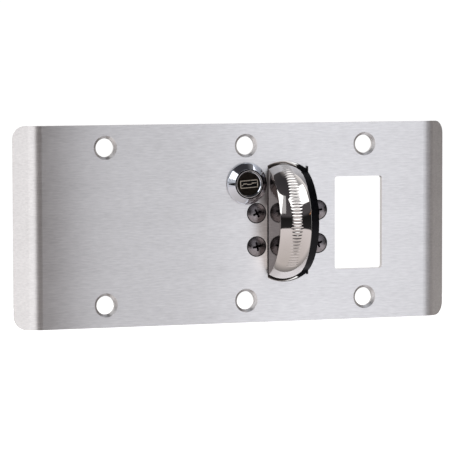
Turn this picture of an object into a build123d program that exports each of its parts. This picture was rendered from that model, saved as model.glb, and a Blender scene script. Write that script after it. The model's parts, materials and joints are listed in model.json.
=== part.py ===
"""Selector key switch on a stainless plate with bent-back ends.

A chrome thumb wheel stands through a barrel-shaped slot beside a black guard, and a key
cylinder sits up and left of it. Two steel brackets behind the plate carry the wheel's
axle, its detent, its stop pin and a cam that presses a microswitch. The key cylinder
turns the rotor of a contact block.

Frame: millimetres, origin at the centre of the four outer mounting holes on the plate's
rear face, +X to the right seen from the front, +Y rearwards, +Z up.
"""

import math
import os

from build123d import *

# ---------------------------------------------------------------- driving dimensions
# plate
plate_width = 246.0
plate_height = 108.0
sheet = 3.0
bend_angle = 32.0
bend_inner = 10.0
flange_length = 8.8
corner_radius = 7.0

# mounting holes, countersunk from the front
hole_column_x = 73.8
middle_column_x = 5.2
hole_row_z = 42.0
mount_hole_r = 4.95
mount_sink_r = 6.4

# rectangular cut-out for a plug-in module
cutout_x = 70.3
cutout_z = -1.0
cutout_width = 27.7
cutout_height = 50.8
cutout_corner_r = 1.5

# thumb wheel and its slot
axle_x = 28.8
axle_y = 8.2
axle_z = 0.4
axle_r = 3.0
wheel_left_x = 17.8
wheel_crown_x = 27.3
wheel_right_x = 35.8
wheel_crown_r = 33.6
wheel_left_r = 31.2
wheel_right_r = 31.1
wheel_rim = 3.2
wheel_web = 2.6
hub_r = 5.6
slot_x = 29.1
slot_width = 23.2
slot_z = 0.5
slot_left_z = 30.5
slot_right_z = 27.8
slot_peak_z = 32.85
slot_peak_x = wheel_crown_x - slot_x

# grooves across the wheel's crown
groove_pitch = 360 / 118
groove_count = 51
groove_first = -43.4
groove_depth = 0.24
groove_r = 1.4

# travel of the wheel, and the stop pin that limits it
wheel_travel = 70.0
stop_circle_r = 8.0
stop_pin_r = 1.4
stop_slot_half_width = 1.55
stop_margin = 10.8

# guard beside the wheel
guard_left_x = 36.0
guard_right_x = 40.5
guard_r = 29.6
guard_bore_r = 5.4

# brackets
bracket_sheet = 2.5
cheek_offset = 12.0
bracket_screw_offset = 17.6
bracket_screw_z = (5.3, -12.8)
right_bracket_lift = 1.0
bracket_screw_places = [
    (axle_x + side * bracket_screw_offset, z + lift)
    for side, lift in ((-1, 0.0), (1, right_bracket_lift))
    for z in bracket_screw_z
]
bracket_top_z = 8.0
bracket_bottom_z = -17.6
bracket_reach = 12.1
cheek_depth = 25.0
bush_r = 3.8
bush_flange_r = 4.4
bush_flange = 1.5
running_gap = 0.05

# cam, star and microswitch
cam_base_r = 3.9
cam_rise = 0.7
star_r = 4.3
star_notch_r = 1.0
switch_thick = 6.4
switch_depth = 10.2
switch_length = 19.8
switch_front_y = 14.8
plunger_r = 1.0

# key cylinder
lock_x = 5.5
lock_z = 21.4
head_r = 11.25
head_edge = 1.2
head_top_r = 7.9
head_height = 4.7
barrel_r = 9.5
barrel_flat = 8.5
barrel_end_y = 17.0
plug_head_r = 6.2
plug_r = 5.2
plug_gap = 0.15
plug_face_y = -sheet - 3.9
plug_shoulder_y = -sheet - 2.1
stub = 5.0

# ---------------------------------------------------------------- derived places
front_y = -sheet
bend_outer = bend_inner + sheet
flat_half = (
    plate_width / 2
    - bend_outer * math.sin(math.radians(bend_angle))
    - flange_length * math.cos(math.radians(bend_angle))
)
cheek_left_x = axle_x - cheek_offset
cheek_right_x = axle_x + cheek_offset

AXLE = Axis((0, axle_y, axle_z), (1, 0, 0))
LOCK = Axis((lock_x, 0, lock_z), (0, 1, 0))
AXLE_PROFILE = Plane(origin=(0, axle_y, axle_z), x_dir=(1, 0, 0), z_dir=(0, 0, 1))
LOCK_PROFILE = Plane(origin=(lock_x, 0, lock_z), x_dir=(1, 0, 0), z_dir=(0, 0, 1))

os.makedirs("parts", exist_ok=True)


def facing_front(y, x=0.0, z=0.0):
    """A plane across Y: local x is +X, local y is +Z, local z points to the front."""
    return Plane(origin=(x, y, z), x_dir=(1, 0, 0), z_dir=(0, -1, 0))


def across_axle(x):
    """A plane across the axle at x: local x is +Y, local y is +Z, local z is +X."""
    return Plane(origin=(x, axle_y, axle_z), x_dir=(0, 1, 0), z_dir=(1, 0, 0))


def across_x(x, y, z):
    """A plane across X at a point, oriented as across_axle."""
    return Plane(origin=(x, y, z), x_dir=(0, 1, 0), z_dir=(1, 0, 0))


def save(built, name):
    """Labels a finished piece and writes it as its own STEP file."""
    built.part.label = name
    export_step(built.part, f"parts/{name}.step")


# ---------------------------------------------------------------- plate
with BuildPart() as front_plate:
    with BuildSketch(Plane.XY.offset(-plate_height / 2)):
        with BuildLine():
            Line((0, front_y), (flat_half, front_y))
            outer_bend = CenterArc((flat_half, bend_inner), bend_outer, -90, bend_angle)
            outer_flange = PolarLine(outer_bend @ 1, flange_length, bend_angle)
            flange_end = PolarLine(outer_flange @ 1, sheet, bend_angle + 90)
            inner_flange = PolarLine(flange_end @ 1, flange_length, bend_angle + 180)
            CenterArc((flat_half, bend_inner), bend_inner, bend_angle - 90, -bend_angle)
            Line((flat_half, 0), (0, 0))
            mirror(about=Plane.YZ)
        make_face()
    extrude(amount=plate_height)
    flange_ends = front_plate.faces().sort_by(Axis.X)
    corner_edges = [
        edge
        for face in (flange_ends[0], flange_ends[-1])
        for edge in face.edges()
        if edge.length < 2 * sheet
    ]
    fillet(corner_edges, corner_radius)
    # mounting holes: two outer columns and a middle one
    with Locations(facing_front(front_y)):
        with Locations(
            *[
                (column, row)
                for column in (-hole_column_x, middle_column_x, hole_column_x)
                for row in (-hole_row_z, hole_row_z)
            ]
        ):
            CounterSinkHole(mount_hole_r, mount_sink_r, counter_sink_angle=90)
        # bracket screws
        with Locations(*bracket_screw_places):
            CounterSinkHole(2.7, 5.45, counter_sink_angle=90)
    # barrel-shaped slot for the wheel
    with BuildSketch(facing_front(front_y, slot_x, slot_z)):
        half = slot_width / 2
        with BuildLine():
            Line((-half, -slot_left_z), (-half, slot_left_z))
            ThreePointArc((-half, slot_left_z), (slot_peak_x, slot_peak_z), (half, slot_right_z))
            Line((half, slot_right_z), (half, -slot_right_z))
            ThreePointArc((half, -slot_right_z), (slot_peak_x, -slot_peak_z), (-half, -slot_left_z))
        make_face()
    extrude(amount=-sheet, mode=Mode.SUBTRACT)
    # module cut-out
    with BuildSketch(facing_front(front_y, cutout_x, cutout_z)):
        RectangleRounded(cutout_width, cutout_height, cutout_corner_r)
    extrude(amount=-sheet, mode=Mode.SUBTRACT)
    # double-D hole that stops the key cylinder from turning
    with BuildSketch(facing_front(front_y, lock_x, lock_z)):
        Circle(barrel_r + 0.1)
        Rectangle(4 * barrel_r, 2 * barrel_flat + 0.2, mode=Mode.INTERSECT)
    extrude(amount=-sheet, mode=Mode.SUBTRACT)
save(front_plate, "front_plate")

# ---------------------------------------------------------------- key cylinder
thread_start_y = 1.0
thread_pitch = 1.25
thread_depth = 0.55
thread_turns = 12
head_top_y = front_y - head_height
plug_bore_r = plug_r + plug_gap
head_bore_r = plug_head_r + plug_gap

with BuildPart() as lock_housing:
    with BuildSketch(LOCK_PROFILE):
        thread_points = [(barrel_r, front_y)]
        for turn in range(thread_turns):
            start = thread_start_y + turn * thread_pitch
            thread_points += [
                (barrel_r, start),
                (barrel_r - thread_depth, start + thread_pitch / 2),
            ]
        thread_points += [(barrel_r, thread_start_y + thread_turns * thread_pitch)]
        with BuildLine():
            Polyline(
                (head_bore_r, plug_shoulder_y + 0.1),
                (head_bore_r, head_top_y + 0.5),
                (head_bore_r + 0.45, head_top_y + 0.05),
                (head_top_r - 0.45, head_top_y),
            )
            ThreePointArc(
                (head_top_r - 0.45, head_top_y),
                (head_top_r - 0.1, head_top_y + 0.12),
                (head_top_r + 0.15, head_top_y + 0.4),
            )
            Polyline(
                (head_top_r + 0.15, head_top_y + 0.4),
                (head_r - 0.3, front_y - head_edge - 0.15),
                (head_r, front_y - head_edge + 0.2),
                (head_r, front_y),
                *thread_points,
                (barrel_r, barrel_end_y),
                (plug_bore_r, barrel_end_y),
                (plug_bore_r, plug_shoulder_y + 0.1),
                (head_bore_r, plug_shoulder_y + 0.1),
            )
        make_face()
    revolve(axis=LOCK)
    # flats above and below the threaded barrel
    with BuildSketch(facing_front(front_y, lock_x, lock_z)):
        for side in (-1, 1):
            with Locations((0, side * (barrel_flat + 2))):
                Rectangle(4 * barrel_r, 4)
    extrude(amount=-(barrel_end_y - front_y), mode=Mode.SUBTRACT)
    # tapped holes for the contact block's screws
    with Locations(Plane(origin=(lock_x, barrel_end_y, lock_z), x_dir=(1, 0, 0), z_dir=(0, 1, 0))):
        with Locations((-7.4, 0), (7.4, 0)):
            Hole(0.95, depth=5)
    # index mark at nine o'clock on the head's slope
    with Locations((lock_x - 9.6, front_y - 3.2, lock_z)):
        Box(3.6, 2.2, 0.5, mode=Mode.SUBTRACT)
save(lock_housing, "lock_housing")

# the rotating plug, its keyway lies flat at rest
plug_end_y = barrel_end_y + 0.2
stub_end_y = plug_end_y + 6.8
keyway_width = 8.2
keyway_height = 2.0
insert_width = 10.0
insert_height = 3.9
insert_depth = 1.6
wafer_pitch = 2.4
wafer_count = 6
wafer_first_y = front_y + 1.0
wafer_size = (9.0, 0.8, 5.0)
wafer_gap = 0.08
wafer_places = [(lock_x, wafer_first_y + i * wafer_pitch, lock_z) for i in range(wafer_count)]

with BuildPart() as lock_plug:
    with BuildSketch(facing_front(plug_face_y, lock_x, lock_z)):
        Circle(plug_head_r)
    extrude(amount=-(plug_shoulder_y - plug_face_y))
    fillet(lock_plug.edges().group_by(Axis.Y)[0], 0.3)
    with BuildSketch(facing_front(plug_shoulder_y, lock_x, lock_z)):
        Circle(plug_r)
    extrude(amount=-(plug_end_y - plug_shoulder_y))
    with BuildSketch(facing_front(plug_end_y, lock_x, lock_z)):
        RectangleRounded(stub, stub, 0.4)
    extrude(amount=-(stub_end_y - plug_end_y))
    # keyway, and the recess of its insert
    with BuildSketch(facing_front(plug_face_y, lock_x, lock_z)):
        Rectangle(keyway_width, keyway_height)
    extrude(amount=-19, mode=Mode.SUBTRACT)
    with BuildSketch(facing_front(plug_face_y, lock_x, lock_z)):
        Rectangle(insert_width + 0.04, insert_height + 0.04)
    extrude(amount=-insert_depth, mode=Mode.SUBTRACT)
    # slots for the wafers
    with Locations(*wafer_places):
        Box(4 * plug_r, wafer_size[1] + 2 * wafer_gap, wafer_size[2] + 2 * wafer_gap, mode=Mode.SUBTRACT)
    # tapped hole in the stub's end
    with Locations(Plane(origin=(lock_x, stub_end_y, lock_z), x_dir=(1, 0, 0), z_dir=(0, 1, 0))):
        Hole(1.25, depth=5)
save(lock_plug, "lock_plug")

with BuildPart() as keyway_insert:
    with BuildSketch(facing_front(plug_face_y - 0.25, lock_x, lock_z)):
        Rectangle(insert_width, insert_height)
        Rectangle(keyway_width - 0.6, keyway_height - 0.1, mode=Mode.SUBTRACT)
    extrude(amount=-(insert_depth - 0.5))
    chamfer(keyway_insert.faces().sort_by(Axis.Y)[0].outer_wire().edges(), 0.2)
save(keyway_insert, "keyway_insert")

with BuildPart() as keyway_shutter:
    shutter_y = plug_face_y + insert_depth - 0.6
    with BuildSketch(facing_front(shutter_y, lock_x, lock_z)):
        for side in (-1, 1):
            with Locations((0, side * 0.95)):
                Rectangle(keyway_width + 1, 1.85)
    extrude(amount=-0.5)
save(keyway_shutter, "keyway_shutter")

with BuildPart() as wafer_tumblers:
    with Locations(*wafer_places):
        Box(*wafer_size)
        Box(6.6, 2 * wafer_size[1], keyway_height + 0.3, mode=Mode.SUBTRACT)
save(wafer_tumblers, "wafer_tumblers")

with BuildPart() as plug_washer:
    with BuildSketch(facing_front(barrel_end_y + 0.25, lock_x, lock_z)):
        Circle(6.0)
        Rectangle(stub + 0.04, stub + 0.04, mode=Mode.SUBTRACT)
    extrude(amount=-1.0)
save(plug_washer, "plug_washer")

# lock washer and hex nut behind the plate
with BuildPart() as lock_washer:
    with BuildSketch(facing_front(0, lock_x, lock_z)):
        Circle(10.6)
        Circle(barrel_r + 0.1, mode=Mode.SUBTRACT)
        with PolarLocations(10.6, 14):
            Rectangle(1.0, 1.1, mode=Mode.SUBTRACT)
    extrude(amount=-0.9)
save(lock_washer, "lock_washer")

with BuildPart() as lock_nut:
    with BuildSketch(facing_front(0.95, lock_x, lock_z)):
        RegularPolygon(11.0, 6, major_radius=False, rotation=30)
        Circle(barrel_r + 0.05, mode=Mode.SUBTRACT)
    extrude(amount=-4.0)
    nut_edges = lock_nut.edges().filter_by(GeomType.LINE)
    chamfer([e for e in nut_edges if abs(e.tangent_at(0.5).Y) < 0.5], 0.4)
save(lock_nut, "lock_nut")

# ---------------------------------------------------------------- contact block
block_r = 10.2
block_wall = 1.4
block_front_y = barrel_end_y
block_end_y = block_front_y + 13.0
boss_x = 7.4
terminal_places = [(x, z) for x in (-3.9, 3.9) for z in (-6.3, 6.3)]
rotor_front_y = block_front_y + 4.0

with BuildPart() as switch_block:
    with BuildSketch(facing_front(block_front_y, lock_x, lock_z)):
        Circle(block_r)
    extrude(amount=-(block_end_y - block_front_y))
    chamfer(switch_block.edges().group_by(Axis.Y)[-1], 0.6)
    with BuildSketch(facing_front(block_front_y, lock_x, lock_z)):
        Circle(block_r - block_wall)
        with Locations((-boss_x, 0), (boss_x, 0)):
            Circle(1.3, mode=Mode.SUBTRACT)
    extrude(amount=-(block_end_y - block_front_y - 2.0), mode=Mode.SUBTRACT)
    with BuildSketch(facing_front(block_end_y, lock_x, lock_z)):
        with Locations((-boss_x, 0), (boss_x, 0)):
            Circle(0.75)
    extrude(amount=block_end_y - block_front_y, mode=Mode.SUBTRACT)
    with BuildSketch(facing_front(block_end_y, lock_x, lock_z)):
        with Locations(*terminal_places):
            Rectangle(3.04, 0.84)
    extrude(amount=2.5, mode=Mode.SUBTRACT)
save(switch_block, "switch_block")

with BuildPart() as block_screws:
    with BuildSketch(facing_front(block_end_y, lock_x, lock_z)):
        with Locations((-boss_x, 0), (boss_x, 0)):
            Circle(0.7)
    extrude(amount=block_end_y - block_front_y + 4.5)
    with BuildSketch(facing_front(block_end_y, lock_x, lock_z)):
        with Locations((-boss_x, 0), (boss_x, 0)):
            Circle(1.6)
    extrude(amount=-1.2)
    with BuildSketch(facing_front(block_end_y + 1.2, lock_x, lock_z)):
        with Locations((-boss_x, 0), (boss_x, 0)):
            Rectangle(3.6, 0.45)
    extrude(amount=0.6, mode=Mode.SUBTRACT)
save(block_screws, "block_screws")

with BuildPart() as switch_terminals:
    with BuildSketch(facing_front(block_end_y - 3.5, lock_x, lock_z)):
        with Locations(*terminal_places):
            Rectangle(3.0, 0.8)
    extrude(amount=-11.0)
    spade_tips = switch_terminals.faces().group_by(Axis.Y)[-1].edges()
    chamfer([e for e in spade_tips if e.length > 2], 0.25)
    with BuildSketch(Plane.XY.offset(lock_z - 10)):
        for x in (-3.9, 3.9):
            with Locations((lock_x + x, block_end_y + 4.6)):
                Circle(0.7)
    extrude(amount=20, mode=Mode.SUBTRACT)
save(switch_terminals, "switch_terminals")

with BuildPart() as contact_rotor:
    with BuildSketch(facing_front(rotor_front_y, lock_x, lock_z)):
        Circle(5.7)
        Rectangle(stub + 0.04, stub + 0.04, mode=Mode.SUBTRACT)
    extrude(amount=-2.1)
save(contact_rotor, "contact_rotor")

with BuildPart() as rotor_bridge:
    with BuildSketch(facing_front(rotor_front_y + 2.1, lock_x, lock_z)):
        Rectangle(3.4, 11.6)
        Rectangle(8.0, 8.0)
        Rectangle(stub + 0.1, stub + 0.1, mode=Mode.SUBTRACT)
    extrude(amount=-0.7)
save(rotor_bridge, "rotor_bridge")

with BuildPart() as tail_screw:
    with BuildSketch(facing_front(stub_end_y, lock_x, lock_z)):
        Circle(3.3)
    extrude(amount=-1.4)
    fillet(tail_screw.edges().group_by(Axis.Y)[-1], 0.5)
    with BuildSketch(facing_front(stub_end_y, lock_x, lock_z)):
        Circle(1.22)
    extrude(amount=4.5)
save(tail_screw, "tail_screw")

# ---------------------------------------------------------------- thumb wheel
with BuildPart() as thumb_wheel:
    with BuildSketch(AXLE_PROFILE):
        with BuildLine():
            ThreePointArc(
                (wheel_left_x, wheel_left_r),
                (wheel_crown_x, wheel_crown_r),
                (wheel_right_x, wheel_right_r),
            )
            inner_r = wheel_right_r - wheel_rim
            Polyline(
                (wheel_right_x, wheel_right_r),
                (wheel_right_x, inner_r),
                (wheel_left_x + wheel_web, inner_r),
                (wheel_left_x + wheel_web, hub_r),
                (wheel_right_x, hub_r),
                (wheel_right_x, axle_r + 0.02),
                (wheel_left_x, axle_r + 0.02),
                (wheel_left_x, wheel_left_r),
            )
        make_face()
    revolve(axis=AXLE)
    rim_edges = [e for e in thumb_wheel.edges().filter_by(GeomType.CIRCLE) if e.radius > wheel_right_r - 0.1]
    fillet(rim_edges, 0.5)
    # arc slot in the web for the stop pin
    with BuildSketch(across_axle(wheel_left_x)):
        with BuildLine():
            CenterArc((0, 0), stop_circle_r, -90 + stop_margin, -(wheel_travel + 2 * stop_margin))
        trace(line_width=2 * stop_slot_half_width)
    extrude(amount=wheel_web, mode=Mode.SUBTRACT)
    # radial tapped hole for the set screw
    with BuildSketch(Plane(origin=(30.0, axle_y, axle_z), x_dir=(1, 0, 0), z_dir=(0, 0, 1))):
        Circle(1.5)
    extrude(amount=hub_r + 1, mode=Mode.SUBTRACT)
    # straight grooves cut across the crown
    groove_centre_r = wheel_crown_r - groove_depth + groove_r
    groove_angles = [180 - (groove_first + i * groove_pitch) for i in range(groove_count)]
    with BuildSketch(across_axle(wheel_crown_x - 5)):
        with Locations(
            *[
                (
                    groove_centre_r * math.cos(math.radians(a)),
                    groove_centre_r * math.sin(math.radians(a)),
                )
                for a in groove_angles
            ]
        ):
            Circle(groove_r)
    extrude(amount=10, mode=Mode.SUBTRACT)
save(thumb_wheel, "thumb_wheel")

with BuildPart() as hub_set_screw:
    with BuildSketch(Plane(origin=(30.0, axle_y, axle_z + axle_r), x_dir=(1, 0, 0), z_dir=(0, 0, 1))):
        Circle(1.47)
    extrude(amount=2.4)
    with BuildSketch(hub_set_screw.faces().sort_by(Axis.Z)[-1]):
        RegularPolygon(0.75, 6)
    extrude(amount=-1.2, mode=Mode.SUBTRACT)
save(hub_set_screw, "hub_set_screw")

# ---------------------------------------------------------------- axle and what is on it
axle_left_x = cheek_left_x - bracket_sheet - bush_flange - 0.4 - 3.4 - 0.6
axle_right_x = cheek_right_x + bracket_sheet + bush_flange + 0.4 + 3.0 + 2.2
cam_left_x = axle_left_x + 0.6
star_left_x = cheek_right_x + bracket_sheet + bush_flange + 0.4
clip_x = star_left_x + 3.1
clip_groove_r = 2.3
clip_thick = 0.6

with BuildPart() as axle:
    with BuildSketch(across_axle(axle_left_x)):
        Circle(axle_r)
    extrude(amount=axle_right_x - axle_left_x)
    chamfer(axle.edges().filter_by(GeomType.CIRCLE), 0.4)
    with BuildSketch(across_axle(clip_x)):
        Circle(axle_r)
        Circle(clip_groove_r, mode=Mode.SUBTRACT)
    extrude(amount=clip_thick + 0.1, mode=Mode.SUBTRACT)
    # cross hole for the cam's pin
    with BuildSketch(Plane(origin=(cam_left_x + 1.2, axle_y, axle_z - 5), x_dir=(1, 0, 0), z_dir=(0, 0, 1))):
        Circle(0.6)
    extrude(amount=10, mode=Mode.SUBTRACT)
save(axle, "axle")

with BuildPart() as axle_spacer:
    with BuildSketch(across_axle(wheel_right_x + 0.05)):
        Circle(5.0)
        Circle(axle_r + running_gap, mode=Mode.SUBTRACT)
    extrude(amount=cheek_right_x - wheel_right_x - 0.1)
save(axle_spacer, "axle_spacer")

with BuildPart() as thrust_washer:
    with BuildSketch(across_axle(cheek_left_x + 0.05)):
        Circle(5.2)
        Circle(axle_r + running_gap, mode=Mode.SUBTRACT)
    extrude(amount=wheel_left_x - cheek_left_x - 0.1)
save(thrust_washer, "thrust_washer")


def cam_point(angle):
    """A point of the cam's edge; angle 0 faces the plunger, and the radius rises evenly below it."""
    rise = cam_rise * min(max(-angle, 0.0), wheel_travel) / wheel_travel
    return (
        (cam_base_r + rise) * math.cos(math.radians(angle)),
        (cam_base_r + rise) * math.sin(math.radians(angle)),
    )


with BuildPart() as selector_cam:
    with BuildSketch(across_axle(cam_left_x)):
        with BuildLine():
            ramp = Spline(*[cam_point(-wheel_travel - 12 + 94 * i / 12) for i in range(13)])
            CenterArc((0, 0), cam_base_r, 12, 180)
            Line(ramp @ 0, (cam_base_r * math.cos(math.radians(192)), cam_base_r * math.sin(math.radians(192))))
        make_face()
        Circle(cam_base_r)
        Circle(axle_r + 0.02, mode=Mode.SUBTRACT)
    extrude(amount=3.4)
    with BuildSketch(Plane(origin=(cam_left_x + 1.2, axle_y, axle_z - 6), x_dir=(1, 0, 0), z_dir=(0, 0, 1))):
        Circle(0.6)
    extrude(amount=12, mode=Mode.SUBTRACT)
save(selector_cam, "selector_cam")

with BuildPart() as cam_pin:
    with BuildSketch(Plane(origin=(cam_left_x + 1.2, axle_y, axle_z - 3.7), x_dir=(1, 0, 0), z_dir=(0, 0, 1))):
        Circle(0.57)
    extrude(amount=7.4)
save(cam_pin, "cam_pin")

with BuildPart() as detent_star:
    with BuildSketch(across_axle(star_left_x)):
        Circle(star_r)
        Circle(axle_r + 0.02, mode=Mode.SUBTRACT)
        with Locations(
            *[
                (
                    (star_r + 0.25) * math.cos(math.radians(-step * wheel_travel / 2)),
                    (star_r + 0.25) * math.sin(math.radians(-step * wheel_travel / 2)),
                )
                for step in range(3)
            ]
        ):
            Circle(star_notch_r, mode=Mode.SUBTRACT)
    extrude(amount=3.0)
save(detent_star, "detent_star")

with BuildPart() as axle_clip:
    with BuildSketch(across_axle(clip_x + 0.05)):
        Circle(4.2)
        Circle(clip_groove_r + 0.02, mode=Mode.SUBTRACT)
        with Locations((0, 3.2)):
            Rectangle(3.0, 6.4, mode=Mode.SUBTRACT)
    extrude(amount=clip_thick)
save(axle_clip, "axle_clip")

# ---------------------------------------------------------------- brackets and bushes
stop_pin_place = (axle_y, axle_z - stop_circle_r)
guard_screw_places = [(20.3, 4.4), (20.3, -13.4)]
switch_screw_places = [(switch_front_y + 7.2, -4.9), (switch_front_y + 7.2, 4.6)]


def bracket_blank(side, lift=0.0):
    """The L-shaped blank of one bracket: a foot on the plate and a cheek beside the wheel."""
    inner = axle_x + side * cheek_offset
    with BuildPart() as blank:
        with BuildSketch(Plane.XY.offset(bracket_bottom_z + lift)):
            with BuildLine():
                Polyline(
                    (inner, 0),
                    (inner, cheek_depth),
                    (inner + side * bracket_sheet, cheek_depth),
                    (inner + side * bracket_sheet, bracket_sheet),
                    (inner + side * bracket_reach, bracket_sheet),
                    (inner + side * bracket_reach, 0),
                    close=True,
                )
            make_face()
        extrude(amount=bracket_top_z - bracket_bottom_z)
        with BuildSketch(facing_front(0, axle_x + side * bracket_screw_offset, lift)):
            with Locations(*[(0, z) for z in bracket_screw_z]):
                Circle(2.5)
        extrude(amount=-bracket_sheet, mode=Mode.SUBTRACT)
        with BuildSketch(across_x(min(inner, inner + side * bracket_sheet), axle_y, axle_z)):
            Circle(bush_r)
        extrude(amount=bracket_sheet, mode=Mode.SUBTRACT)
        cheek_corners = blank.edges().filter_by(Axis.X).group_by(Axis.Y)[-1]
        fillet(cheek_corners, 4.0)
    return blank.part


with BuildPart() as left_bracket:
    add(bracket_blank(-1))
    left_cheek_x = cheek_left_x - bracket_sheet
    with BuildSketch(across_x(left_cheek_x, 0, 0)):
        with Locations(stop_pin_place):
            Circle(stop_pin_r)
        with Locations(*switch_screw_places):
            Circle(1.15)
    extrude(amount=bracket_sheet, mode=Mode.SUBTRACT)
save(left_bracket, "left_bracket")

lug_y = 14.4
lug_sheet = 2.0
lug_z = (bracket_bottom_z + right_bracket_lift, -9.5)
spring_screw_place = (star_left_x + 1.5, -13.4)

with BuildPart() as right_bracket:
    add(bracket_blank(1, right_bracket_lift))
    with BuildSketch(across_x(cheek_right_x, 0, 0)):
        with Locations(*guard_screw_places):
            Circle(1.6)
    extrude(amount=bracket_sheet, mode=Mode.SUBTRACT)
    # lug that carries the detent spring
    with Locations((cheek_right_x + bracket_sheet, lug_y, lug_z[0])):
        Box(8.2, lug_sheet, lug_z[1] - lug_z[0], align=(Align.MIN, Align.MIN, Align.MIN))
    with BuildSketch(facing_front(lug_y, *spring_screw_place)):
        Circle(1.25)
    extrude(amount=-lug_sheet, mode=Mode.SUBTRACT)
save(right_bracket, "right_bracket")

for side, name in ((-1, "left_bush"), (1, "right_bush")):
    with BuildPart() as bush:
        inner = axle_x + side * cheek_offset
        outer = inner + side * bracket_sheet
        with BuildSketch(across_axle(min(inner, outer))):
            Circle(bush_r)
        extrude(amount=bracket_sheet)
        with BuildSketch(across_axle(min(outer, outer + side * bush_flange))):
            Circle(bush_flange_r)
        extrude(amount=bush_flange)
        with BuildSketch(across_axle(inner - 10)):
            Circle(axle_r + running_gap)
        extrude(amount=20, mode=Mode.SUBTRACT)
    save(bush, name)

with BuildPart() as stop_pin:
    with BuildSketch(across_x(cheek_left_x - bracket_sheet, *stop_pin_place)):
        Circle(stop_pin_r)
    extrude(amount=bracket_sheet + 2.6)
    chamfer(stop_pin.edges().group_by(Axis.X)[-1], 0.3)
save(stop_pin, "stop_pin")

# four oval-head cross-recess screws through the plate into the brackets
screw_head_r = 5.05
screw_dome = 1.0
with BuildPart() as bracket_screws:
    for (screw_x, z), turn in zip(bracket_screw_places, (28, 12, 8, 20)):
        with BuildSketch(Plane(origin=(screw_x, 0, z), x_dir=(1, 0, 0), z_dir=(0, 0, 1))):
            with BuildLine():
                ThreePointArc(
                    (0, front_y - screw_dome),
                    (screw_head_r * 0.55, front_y - screw_dome * 0.72),
                    (screw_head_r, front_y),
                )
                Polyline(
                    (screw_head_r, front_y),
                    (2.45, front_y + screw_head_r - 2.45),
                    (2.45, bracket_sheet),
                    (0, bracket_sheet),
                    (0, front_y - screw_dome),
                )
            make_face()
        revolve(axis=Axis((screw_x, 0, z), (0, 1, 0)))
        # cross recess, narrowing towards its bottom
        with BuildSketch(facing_front(front_y - screw_dome - 0.2, screw_x, z)):
            Rectangle(5.2, 1.3, rotation=turn)
            Rectangle(1.3, 5.2, rotation=turn)
        extrude(amount=-2.6, taper=14, mode=Mode.SUBTRACT)
save(bracket_screws, "bracket_screws")

# ---------------------------------------------------------------- guard beside the wheel
ear_front_y = front_y - 0.4
ear_rear_y = (7.5, 18.0)
ear_gap = 0.2
ear_root_z = 24.0
with BuildPart() as wheel_guard:
    with BuildSketch(across_axle(guard_left_x)):
        Circle(guard_r)
        Circle(guard_bore_r, mode=Mode.SUBTRACT)
    extrude(amount=guard_right_x - guard_left_x)
    # the disc is stepped in where it passes through the slot
    with BuildSketch(facing_front(front_y - 0.1, slot_x, slot_z)):
        Rectangle(60, 80)
        Rectangle(60, 2 * (slot_right_z - ear_gap), mode=Mode.SUBTRACT)
    extrude(amount=-(sheet + 0.3), mode=Mode.SUBTRACT)
    # ears that fill the slot's two ends beside the wheel, below and above
    for up, rear_y in zip((-1, 1), ear_rear_y):
        with BuildSketch(facing_front(ear_front_y, slot_x, slot_z)):
            with BuildLine():
                half = slot_width / 2
                ThreePointArc(
                    (-half, up * (slot_left_z - ear_gap)),
                    (slot_peak_x, up * (slot_peak_z - ear_gap)),
                    (half, up * (slot_right_z - ear_gap)),
                )
                Polyline(
                    (half, up * (slot_right_z - ear_gap)),
                    (half, up * ear_root_z),
                    (-half, up * ear_root_z),
                    (-half, up * (slot_left_z - ear_gap)),
                )
            make_face()
            with Locations((guard_left_x - slot_x - 20, 0)):
                Rectangle(40, 80, mode=Mode.SUBTRACT)
            with Locations((guard_right_x - slot_x + 20, 0)):
                Rectangle(40, 80, mode=Mode.SUBTRACT)
        extrude(amount=-(rear_y - ear_front_y))
    # pads against the right bracket, and their screw holes
    with BuildSketch(across_x(guard_right_x, 0, 0)):
        with Locations(*guard_screw_places):
            Circle(3.6)
    extrude(amount=cheek_right_x - guard_right_x)
    with BuildSketch(across_x(cheek_right_x, 0, 0)):
        with Locations(*guard_screw_places):
            Circle(1.25)
    extrude(amount=-4.0, mode=Mode.SUBTRACT)
    # barbs that lie on the plate's face at the slot's ends
    for up in (-1, 1):
        with Locations((guard_right_x - 0.3, front_y - 0.55, 0.9 + up * 27.9)):
            Box(0.8, 0.9, 3.0)
save(wheel_guard, "wheel_guard")

with BuildPart() as guard_screws:
    head_x = cheek_right_x + bracket_sheet
    with BuildSketch(across_x(head_x, 0, 0)):
        with Locations(*guard_screw_places):
            Circle(2.7)
    extrude(amount=1.9)
    fillet(guard_screws.edges().group_by(Axis.X)[-1], 0.7)
    with BuildSketch(across_x(head_x, 0, 0)):
        with Locations(*guard_screw_places):
            Circle(1.22)
    extrude(amount=-(bracket_sheet + 3.6))
    with BuildSketch(across_x(head_x + 1.9, 0, 0)):
        with Locations(*guard_screw_places):
            Rectangle(2.8, 0.6)
            Rectangle(0.6, 2.8)
    extrude(amount=-1.1, mode=Mode.SUBTRACT)
save(guard_screws, "guard_screws")

# ---------------------------------------------------------------- detent spring
spring_y = lug_y - 0.2 - axle_y
nose_y = star_r + 0.07
with BuildPart() as detent_spring:
    with BuildSketch(across_axle(star_left_x + 0.1)):
        with BuildLine():
            FilletPolyline(
                (spring_y, lug_z[0] + 0.4),
                (spring_y, -2.6),
                (nose_y, 0),
                (spring_y, 2.6),
                (spring_y + 0.6, 6.0),
                radius=0.7,
            )
        trace(line_width=0.4)
    extrude(amount=2.8)
    with BuildSketch(facing_front(lug_y - 1, *spring_screw_place)):
        Circle(0.95)
    extrude(amount=-2, mode=Mode.SUBTRACT)
save(detent_spring, "detent_spring")

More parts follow.
